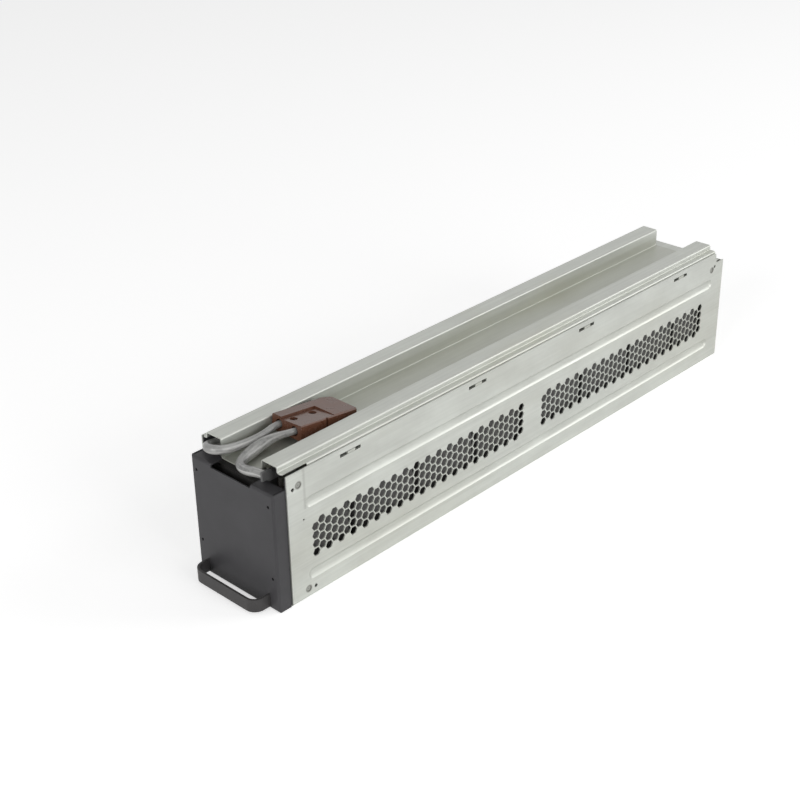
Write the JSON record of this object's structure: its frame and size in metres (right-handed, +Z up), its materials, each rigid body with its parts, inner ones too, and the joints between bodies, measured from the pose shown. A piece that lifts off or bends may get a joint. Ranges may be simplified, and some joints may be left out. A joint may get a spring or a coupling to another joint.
{
  "type": "ups battery cartridge",
  "caption": "Long folded-steel battery cartridge with perforated sides, ridged cover, front pull handle and a two-pole lead connector lying in the cover's valley.",
  "frame": {"origin": "centre of the underside, halfway between the front of the pull handle and the rear end of the tray", "axes": "+Z up, +Y from the front panel to the rear, +X to the right as seen from the front"},
  "size_m": [0.1, 0.642, 0.1308],
  "materials": {
    "galvanised_steel": "galvanised sheet, soft mottling and rolling lines",
    "panel_paint": "satin charcoal powder coat",
    "handle_paint": "satin black powder coat",
    "battery_case": "dark grey moulded case",
    "tinned_brass": "tinned",
    "spacer_foam": "closed-cell foam",
    "brown_moulding": "semi-gloss brown moulding",
    "contact_silver": "silver-plated copper",
    "clear_nylon": "natural nylon",
    "smoke_nylon": "smoke-grey nylon",
    "lead_sleeve": "grey-white translucent sleeve, wrinkled"
  },
  "bodies": {
    "root": {"tray": "galvanised_steel", "cover": "galvanised_steel", "front_panel": "panel_paint", "pull_handle": "handle_paint", "rear_wall": "galvanised_steel", "battery_1": "battery_case", "battery_2": "battery_case", "battery_3": "battery_case", "battery_4": "battery_case", "battery_5": "battery_case", "battery_6": "battery_case", "battery_7": "battery_case", "battery_8": "battery_case", "terminal_tabs": "tinned_brass", "link_strap_1": "tinned_brass", "link_strap_2": "tinned_brass", "link_strap_3": "tinned_brass", "link_strap_4": "tinned_brass", "link_strap_5": "tinned_brass", "link_strap_6": "tinned_brass", "link_strap_7": "tinned_brass", "return_strap": "tinned_brass", "foam_spacers": "spacer_foam", "connector_housing": "brown_moulding", "connector_contact_left": "contact_silver", "connector_contact_right": "contact_silver", "left_lead_terminal": "clear_nylon", "right_lead_terminal": "smoke_nylon", "left_lead": "lead_sleeve", "right_lead": "lead_sleeve"}
  },
  "joints": []
}
